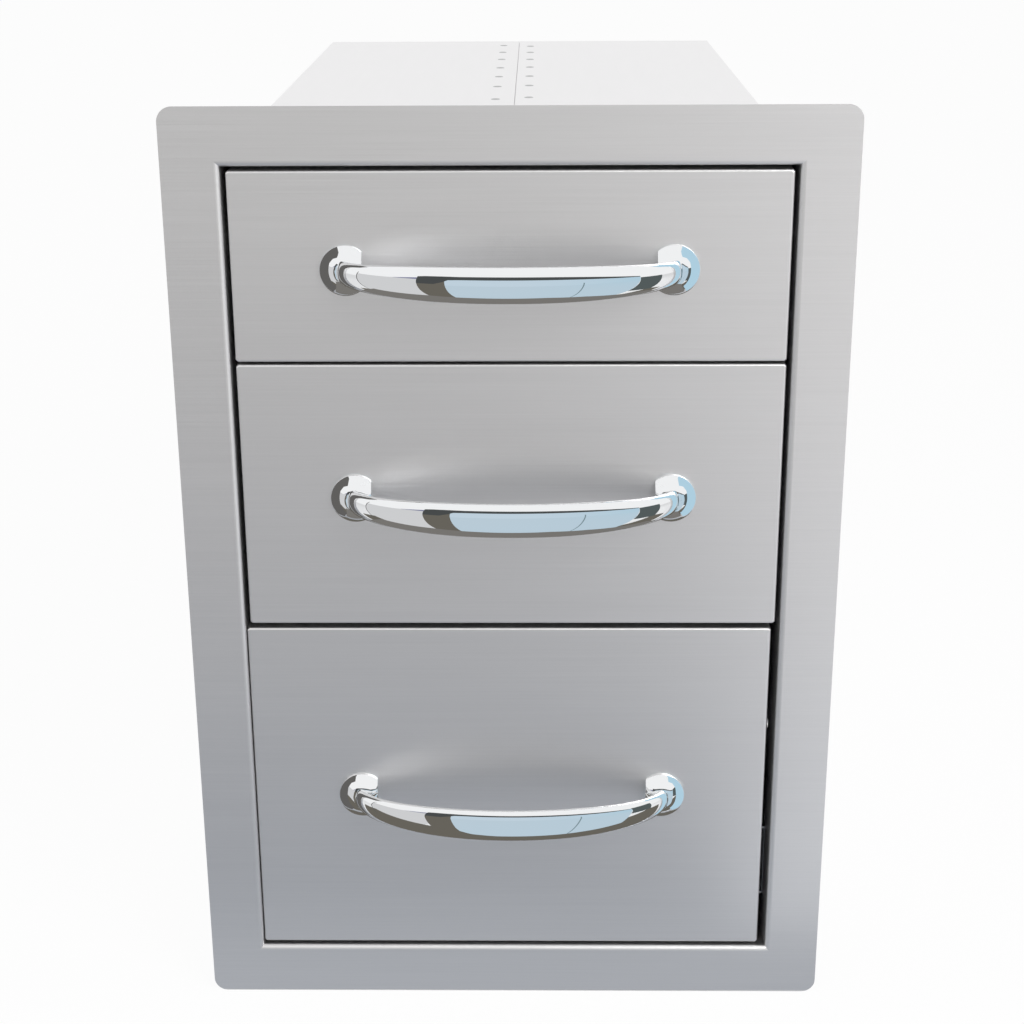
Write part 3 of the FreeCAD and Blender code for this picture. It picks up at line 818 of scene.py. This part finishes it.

# boards close to a handle, from its middle, in mm; they paint reflections and shade into the chrome
handleCards = {
    "footGap": 4,
    # depth and height, going round
    "foot": [(0, -32), (-9, -32), (-9, 8), (-12, 16), (-20, 26), (-20, 42), (0, 42)],
    # painted reflections in the feet's flanks: dark at the left foot, blue at the right one
    "footReflectionColours": {"left": (0.135, 0.13, 0.125), "right": (0.49, 0.71, 0.84)},
    # painted shade on a board just before the drawer face, shown in each foot's lower flank: across from the
    # middle of a foot and height, going round, flat before the drawer face
    "base": [(-15, -34), (15, -34), (15, -9), (-15, -9)],
    "baseDepth": 0.3,
    "baseColour": (0.15, 0.14, 0.12),
    # a brown board under each upper bar, shown only from above: painted shade in the bar's underside
    "underShadeDrop": 50,
    "underShadeColour": (0.21, 0.20, 0.185),
    # across and depth, going round
    "underShades": {
        "top": [(-110, 0), (-130, -50), (-70, -78), (-30, -81), (30, -81), (60, -70), (110, -30), (110, 0)],
        "middle": [(-110, 0), (-130, -50), (-70, -73), (-30, -76), (30, -76), (60, -66), (110, -30), (110, 0)],
    },
}


def addHandleCards():
    # painted reflections and shade in the chrome: a dark board beside each left foot and a blue one beside each
    # right one, a dark board just before the drawer face round each foot, and a brown board under the upper two
    # bars
    c = handleCards
    for drawer in drawers:
        low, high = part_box(drawer + "_handle")
        ends = {"left": low.x, "right": high.x}
        middle, level = middleOf(drawer + "_handle")
        for side, sign in sides.items():
            across = ends[side] + sign * c["footGap"] * mm
            # a glowing board beside the foot: painted reflection in its flank
            cards[f"{drawer}_{side}_footBoard"] = {
                "sharp": True, "colour": c["footReflectionColours"][side],
                "corners": beside(across, *[(depth * mm, level + rise * mm) for depth, rise in c["foot"]])}
            foot = middle + sign * handleSizes["footAcross"]
            # a dark board just before the drawer face: painted shade, shown in the foot's lower flank
            base = [(foot + x * mm, level + rise * mm) for x, rise in c["base"]]
            cards[f"{drawer}_{side}_baseBoard"] = {
                "sharp": True, "colour": c["baseColour"], "corners": facing(c["baseDepth"] * mm, *base)}
        if drawer in c["underShades"]:
            # a brown board under the bar: painted shade, shown in the bar's underside
            under = level - c["underShadeDrop"] * mm
            cards[drawer + "_ledgeBoard"] = {
                "sharp": True, "fromAbove": True, "colour": c["underShadeColour"],
                "corners": lying(under, *[(middle + x * mm, depth * mm) for x, depth in c["underShades"][drawer]])}


makeWorld()
makeFloor()
addHandleCards()
for name, card in cards.items():
    makeCard(name, card)
for name, lamp in studio["lamps"].items():
    makeLamp(name, lamp)
print("studio: a floor, boards:", len(cards), "lamps:", len(studio["lamps"]))


view = {
    "place": (0.01437, -0.97285, 0.65864),
    "turn": (-0.34659, 0.00293, 0.01339),   # as an axis times an angle, from looking straight along +Y
    "focal": 66.12,
    "film": 36,
    "farthest": 100,
}


def makeCamera():
    lens = bpy.data.cameras.new("productCamera")
    lens.lens = view["focal"]
    lens.sensor_width = view["film"]
    lens.sensor_fit = "HORIZONTAL"
    lens.clip_end = view["farthest"]
    camera = bpy.data.objects.new("productCamera", lens)
    bpy.context.scene.collection.objects.link(camera)
    turn = Vector(view["turn"])
    level = Matrix(((1, 0, 0), (0, 0, -1), (0, 1, 0)))     # looks along +Y
    tilt = Matrix.Rotation(turn.length, 3, turn.normalized())
    camera.matrix_world = Matrix.Translation(view["place"]) @ (tilt @ level).to_4x4()
    bpy.context.scene.camera = camera


makeCamera()
bpy.context.scene.view_settings.view_transform = "Standard"
print("camera in place")

nothingSelected()
